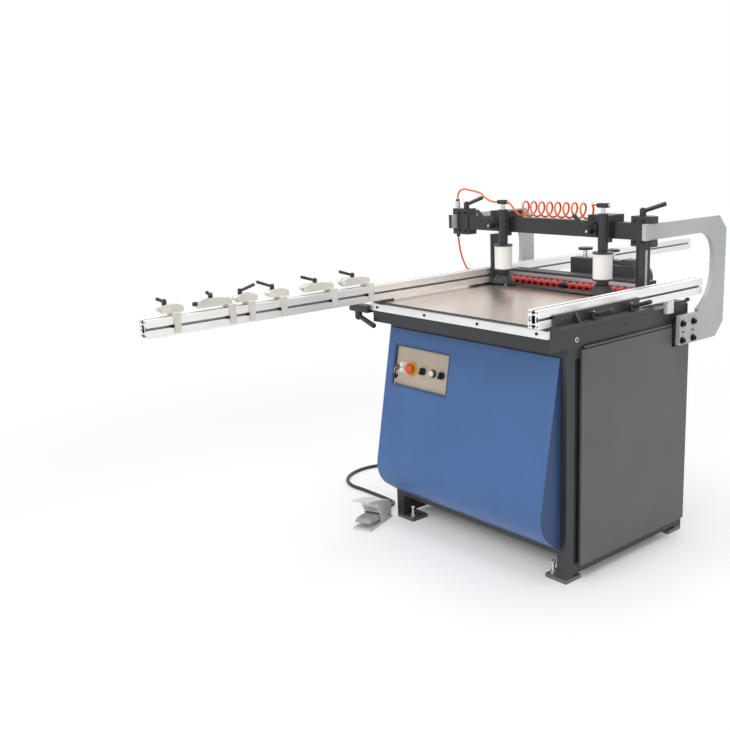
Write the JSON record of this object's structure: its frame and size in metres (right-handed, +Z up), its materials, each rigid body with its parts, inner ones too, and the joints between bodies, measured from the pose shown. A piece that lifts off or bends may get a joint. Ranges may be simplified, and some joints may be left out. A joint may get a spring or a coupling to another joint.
{
  "type": "line boring machine",
  "caption": "Woodworking line boring machine with a tilting row of geared spindles, air hold-downs on a sliding beam, slotted fences with stops, a blue front cover and a foot pedal.",
  "frame": {"origin": "on the floor under the middle of the cabinet", "axes": "+X along the spindle row to the right, +Y to the back, +Z up"},
  "size_m": [1.5499, 2.995, 1.297],
  "materials": {
    "anthracite": "satin",
    "blue": "satin",
    "table_steel": "polished",
    "rail_alu": "satin",
    "fence_alu": "satin",
    "panel_beige": "satin",
    "switch_metal": "polished",
    "stop_red": "gloss",
    "button_white": "gloss",
    "selector_black": "matte",
    "arm_grey": "satin",
    "lever_black": "matte",
    "stop_cream": "satin",
    "beam_black": "satin",
    "hose_orange": "gloss",
    "carriage_black": "satin",
    "presser_black": "matte",
    "head_black": "satin",
    "cradle_grey": "satin",
    "slide_steel": "satin",
    "motor_grey": "satin",
    "pedal_grey": "satin",
    "treadle_grey": "satin",
    "cable_black": "matte",
    "chuck_red": "gloss",
    "chuck_black": "gloss"
  },
  "bodies": {
    "machine": {"cabinet_frame": "anthracite", "front_cover": "blue", "work_table": "table_steel", "fence_rails": "rail_alu", "fence_profiles": "fence_alu", "control_panel": "panel_beige", "side_arms": "arm_grey", "head_supports": "head_black", "pedal_base": "pedal_grey", "pedal_cable": "cable_black"},
    "beam": {"clamp_beam": "beam_black", "air_hose": "hose_orange"},
    "carriage_left": {"carriage_left": "carriage_black"},
    "carriage_right": {"carriage_right": "carriage_black"},
    "presser_left": {"presser_left": "presser_black"},
    "carriage_lever_left": {"carriage_lever_left": "lever_black"},
    "presser_right": {"presser_right": "presser_black"},
    "carriage_lever_right": {"carriage_lever_right": "lever_black"},
    "beam_lever_left": {"beam_lever_left": "lever_black"},
    "beam_lever_right": {"beam_lever_right": "lever_black"},
    "cradle": {"head_cradle": "cradle_grey"},
    "feed": {"feed_slide": "slide_steel"},
    "head": {"gear_housing": "head_black", "motor": "motor_grey"},
    "spindle_01": {"spindle_01": "chuck_red"},
    "spindle_02": {"spindle_02": "chuck_red"},
    "spindle_03": {"spindle_03": "chuck_red"},
    "spindle_04": {"spindle_04": "chuck_red"},
    "spindle_05": {"spindle_05": "chuck_red"},
    "spindle_06": {"spindle_06": "chuck_red"},
    "spindle_07": {"spindle_07": "chuck_red"},
    "spindle_08": {"spindle_08": "chuck_red"},
    "spindle_09": {"spindle_09": "chuck_red"},
    "spindle_10": {"spindle_10": "chuck_red"},
    "spindle_11": {"spindle_11": "chuck_black"},
    "spindle_12": {"spindle_12": "chuck_red"},
    "spindle_13": {"spindle_13": "chuck_red"},
    "spindle_14": {"spindle_14": "chuck_red"},
    "spindle_15": {"spindle_15": "chuck_red"},
    "spindle_16": {"spindle_16": "chuck_red"},
    "spindle_17": {"spindle_17": "chuck_red"},
    "spindle_18": {"spindle_18": "chuck_red"},
    "spindle_19": {"spindle_19": "chuck_red"},
    "spindle_20": {"spindle_20": "chuck_red"},
    "spindle_21": {"spindle_21": "chuck_red"},
    "main_switch": {"main_switch": "switch_metal"},
    "selector_left": {"selector_left": "selector_black"},
    "selector_right": {"selector_right": "selector_black"},
    "emergency_stop": {"emergency_stop": "stop_red"},
    "start_button": {"start_button": "button_white"},
    "fence_lever_front": {"fence_lever_front": "lever_black"},
    "fence_lever_rear": {"fence_lever_rear": "lever_black"},
    "clamp_lever": {"clamp_lever": "lever_black"},
    "stop_1": {"stop_1": "stop_cream"},
    "stop_2": {"stop_2": "stop_cream"},
    "stop_3": {"stop_3": "stop_cream"},
    "stop_4": {"stop_4": "stop_cream"},
    "stop_5": {"stop_5": "stop_cream"},
    "stop_6": {"stop_6": "stop_cream"},
    "pedal_treadle": {"pedal_treadle": "treadle_grey"}
  },
  "joints": [
    {"name": "beam_slide", "type": "slide", "parent": "machine", "child": "beam", "axis": [0, 1, 0], "range_m": [-0.022, 0.02], "deforming": ["air_hose"]},
    {"name": "carriage_left_slide", "type": "slide", "parent": "beam", "child": "carriage_left", "axis": [1, 0, 0], "range_m": [-0.12, 0.15], "deforming": ["air_hose"]},
    {"name": "carriage_right_slide", "type": "slide", "parent": "beam", "child": "carriage_right", "axis": [1, 0, 0], "range_m": [-0.15, 0.06], "deforming": ["air_hose"]},
    {"name": "presser_left_slide", "type": "slide", "parent": "carriage_left", "child": "presser_left", "axis": [0, 0, 1], "range_m": [-0.036, 0.003]},
    {"name": "carriage_lever_left_turn", "type": "hinge", "parent": "carriage_left", "child": "carriage_lever_left", "pos_m": [-0.228, 0.0175, 1.159], "axis": [0, 1, 0], "range_deg": [-50, 40]},
    {"name": "presser_right_slide", "type": "slide", "parent": "carriage_right", "child": "presser_right", "axis": [0, 0, 1], "range_m": [-0.036, 0.003]},
    {"name": "carriage_lever_right_turn", "type": "hinge", "parent": "carriage_right", "child": "carriage_lever_right", "pos_m": [0.249, 0.0175, 1.159], "axis": [0, 1, 0], "range_deg": [-50, 40]},
    {"name": "beam_lever_left_turn", "type": "hinge", "parent": "beam", "child": "beam_lever_left", "pos_m": [-0.427, 0.07, 1.2145], "axis": [0, 0, 1], "range_deg": [-60, 60]},
    {"name": "beam_lever_right_turn", "type": "hinge", "parent": "beam", "child": "beam_lever_right", "pos_m": [0.427, 0.07, 1.2145], "axis": [0, 0, 1], "range_deg": [-60, 60]},
    {"name": "head_tilt", "type": "hinge", "parent": "machine", "child": "cradle", "pos_m": [0, 0.193, 0.85], "axis": [1, 0, 0], "range_deg": [-90, 0]},
    {"name": "feed_slide_move", "type": "slide", "parent": "cradle", "child": "feed", "axis": [0, -1, 0], "range_m": [0, 0.055]},
    {"name": "head_height", "type": "slide", "parent": "feed", "child": "head", "axis": [0, 0, 1], "range_m": [-0.008, 0.02]},
    {"name": "spindle_01_spin", "type": "hinge", "parent": "head", "child": "spindle_01", "pos_m": [-0.32, 0.18, 0.926], "axis": [0, 1, 0], "continuous": true},
    {"name": "spindle_02_spin", "type": "hinge", "parent": "head", "child": "spindle_02", "pos_m": [-0.288, 0.18, 0.926], "axis": [0, 1, 0], "continuous": true},
    {"name": "spindle_03_spin", "type": "hinge", "parent": "head", "child": "spindle_03", "pos_m": [-0.256, 0.18, 0.926], "axis": [0, 1, 0], "continuous": true},
    {"name": "spindle_04_spin", "type": "hinge", "parent": "head", "child": "spindle_04", "pos_m": [-0.224, 0.18, 0.926], "axis": [0, 1, 0], "continuous": true},
    {"name": "spindle_05_spin", "type": "hinge", "parent": "head", "child": "spindle_05", "pos_m": [-0.192, 0.18, 0.926], "axis": [0, 1, 0], "continuous": true},
    {"name": "spindle_06_spin", "type": "hinge", "parent": "head", "child": "spindle_06", "pos_m": [-0.16, 0.18, 0.926], "axis": [0, 1, 0], "continuous": true},
    {"name": "spindle_07_spin", "type": "hinge", "parent": "head", "child": "spindle_07", "pos_m": [-0.128, 0.18, 0.926], "axis": [0, 1, 0], "continuous": true},
    {"name": "spindle_08_spin", "type": "hinge", "parent": "head", "child": "spindle_08", "pos_m": [-0.096, 0.18, 0.926], "axis": [0, 1, 0], "continuous": true},
    {"name": "spindle_09_spin", "type": "hinge", "parent": "head", "child": "spindle_09", "pos_m": [-0.064, 0.18, 0.926], "axis": [0, 1, 0], "continuous": true},
    {"name": "spindle_10_spin", "type": "hinge", "parent": "head", "child": "spindle_10", "pos_m": [-0.032, 0.18, 0.926], "axis": [0, 1, 0], "continuous": true},
    {"name": "spindle_11_spin", "type": "hinge", "parent": "head", "child": "spindle_11", "pos_m": [0, 0.18, 0.926], "axis": [0, 1, 0], "continuous": true},
    {"name": "spindle_12_spin", "type": "hinge", "parent": "head", "child": "spindle_12", "pos_m": [0.032, 0.18, 0.926], "axis": [0, 1, 0], "continuous": true},
    {"name": "spindle_13_spin", "type": "hinge", "parent": "head", "child": "spindle_13", "pos_m": [0.064, 0.18, 0.926], "axis": [0, 1, 0], "continuous": true},
    {"name": "spindle_14_spin", "type": "hinge", "parent": "head", "child": "spindle_14", "pos_m": [0.096, 0.18, 0.926], "axis": [0, 1, 0], "continuous": true},
    {"name": "spindle_15_spin", "type": "hinge", "parent": "head", "child": "spindle_15", "pos_m": [0.128, 0.18, 0.926], "axis": [0, 1, 0], "continuous": true},
    {"name": "spindle_16_spin", "type": "hinge", "parent": "head", "child": "spindle_16", "pos_m": [0.16, 0.18, 0.926], "axis": [0, 1, 0], "continuous": true},
    {"name": "spindle_17_spin", "type": "hinge", "parent": "head", "child": "spindle_17", "pos_m": [0.192, 0.18, 0.926], "axis": [0, 1, 0], "continuous": true},
    {"name": "spindle_18_spin", "type": "hinge", "parent": "head", "child": "spindle_18", "pos_m": [0.224, 0.18, 0.926], "axis": [0, 1, 0], "continuous": true},
    {"name": "spindle_19_spin", "type": "hinge", "parent": "head", "child": "spindle_19", "pos_m": [0.256, 0.18, 0.926], "axis": [0, 1, 0], "continuous": true},
    {"name": "spindle_20_spin", "type": "hinge", "parent": "head", "child": "spindle_20", "pos_m": [0.288, 0.18, 0.926], "axis": [0, 1, 0], "continuous": true},
    {"name": "spindle_21_spin", "type": "hinge", "parent": "head", "child": "spindle_21", "pos_m": [0.32, 0.18, 0.926], "axis": [0, 1, 0], "continuous": true},
    {"name": "main_switch_turn", "type": "hinge", "parent": "machine", "child": "main_switch", "pos_m": [-0.348, -0.35911, 0.64219], "axis": [0, 0.9839, -0.1787], "range_deg": [0, 90]},
    {"name": "selector_left_turn", "type": "hinge", "parent": "machine", "child": "selector_left", "pos_m": [-0.236, -0.35911, 0.64219], "axis": [0, 0.9839, -0.1787], "range_deg": [-45, 45]},
    {"name": "selector_right_turn", "type": "hinge", "parent": "machine", "child": "selector_right", "pos_m": [-0.133, -0.35911, 0.64219], "axis": [0, 0.9839, -0.1787], "range_deg": [-45, 45]},
    {"name": "emergency_stop_press", "type": "slide", "parent": "machine", "child": "emergency_stop", "axis": [0, 0.9839, -0.1787], "range_m": [0, 0.005]},
    {"name": "start_button_press", "type": "slide", "parent": "machine", "child": "start_button", "axis": [0, 0.9839, -0.1787], "range_m": [0, 0.004], "stiffness_N_per_m": 1000},
    {"name": "fence_lever_front_turn", "type": "hinge", "parent": "machine", "child": "fence_lever_front", "pos_m": [0.4842, -0.262, 0.9102], "axis": [0, 0, 1], "range_deg": [-60, 60]},
    {"name": "fence_lever_rear_turn", "type": "hinge", "parent": "machine", "child": "fence_lever_rear", "pos_m": [0.4842, -0.061, 0.9102], "axis": [0, 0, 1], "range_deg": [-60, 60]},
    {"name": "clamp_lever_turn", "type": "hinge", "parent": "machine", "child": "clamp_lever", "pos_m": [-0.512, -0.4402, 0.8548], "axis": [0, 0, 1], "range_deg": [-120, 0]},
    {"name": "stop_1_slide", "type": "slide", "parent": "machine", "child": "stop_1", "axis": [0, 1, 0], "range_m": [-0.08, 0.017]},
    {"name": "stop_2_slide", "type": "slide", "parent": "machine", "child": "stop_2", "axis": [0, 1, 0], "range_m": [-0.017, 0.003]},
    {"name": "stop_3_slide", "type": "slide", "parent": "machine", "child": "stop_3", "axis": [0, 1, 0], "range_m": [-0.003, 0.008]},
    {"name": "stop_4_slide", "type": "slide", "parent": "machine", "child": "stop_4", "axis": [0, 1, 0], "range_m": [-0.008, 0.024]},
    {"name": "stop_5_slide", "type": "slide", "parent": "machine", "child": "stop_5", "axis": [0, 1, 0], "range_m": [-0.024, 0.012]},
    {"name": "stop_6_slide", "type": "slide", "parent": "machine", "child": "stop_6", "axis": [0, 1, 0], "range_m": [-0.012, 0.3]},
    {"name": "pedal_press", "type": "hinge", "parent": "machine", "child": "pedal_treadle", "pos_m": [-0.47979, -0.40085, 0.02], "axis": [0.9336, 0.3584, 0], "range_deg": [0, 7], "stiffness_Nm_per_rad": 12, "springref_deg": -11.46}
  ],
  "couplings": [
    {"joint": "spindle_01_spin", "follows": "spindle_11_spin", "ratio": 1},
    {"joint": "spindle_02_spin", "follows": "spindle_11_spin", "ratio": -1},
    {"joint": "spindle_03_spin", "follows": "spindle_11_spin", "ratio": 1},
    {"joint": "spindle_04_spin", "follows": "spindle_11_spin", "ratio": -1},
    {"joint": "spindle_05_spin", "follows": "spindle_11_spin", "ratio": 1},
    {"joint": "spindle_06_spin", "follows": "spindle_11_spin", "ratio": -1},
    {"joint": "spindle_07_spin", "follows": "spindle_11_spin", "ratio": 1},
    {"joint": "spindle_08_spin", "follows": "spindle_11_spin", "ratio": -1},
    {"joint": "spindle_09_spin", "follows": "spindle_11_spin", "ratio": 1},
    {"joint": "spindle_10_spin", "follows": "spindle_11_spin", "ratio": -1},
    {"joint": "spindle_12_spin", "follows": "spindle_11_spin", "ratio": -1},
    {"joint": "spindle_13_spin", "follows": "spindle_11_spin", "ratio": 1},
    {"joint": "spindle_14_spin", "follows": "spindle_11_spin", "ratio": -1},
    {"joint": "spindle_15_spin", "follows": "spindle_11_spin", "ratio": 1},
    {"joint": "spindle_16_spin", "follows": "spindle_11_spin", "ratio": -1},
    {"joint": "spindle_17_spin", "follows": "spindle_11_spin", "ratio": 1},
    {"joint": "spindle_18_spin", "follows": "spindle_11_spin", "ratio": -1},
    {"joint": "spindle_19_spin", "follows": "spindle_11_spin", "ratio": 1},
    {"joint": "spindle_20_spin", "follows": "spindle_11_spin", "ratio": -1},
    {"joint": "spindle_21_spin", "follows": "spindle_11_spin", "ratio": 1}
  ]
}
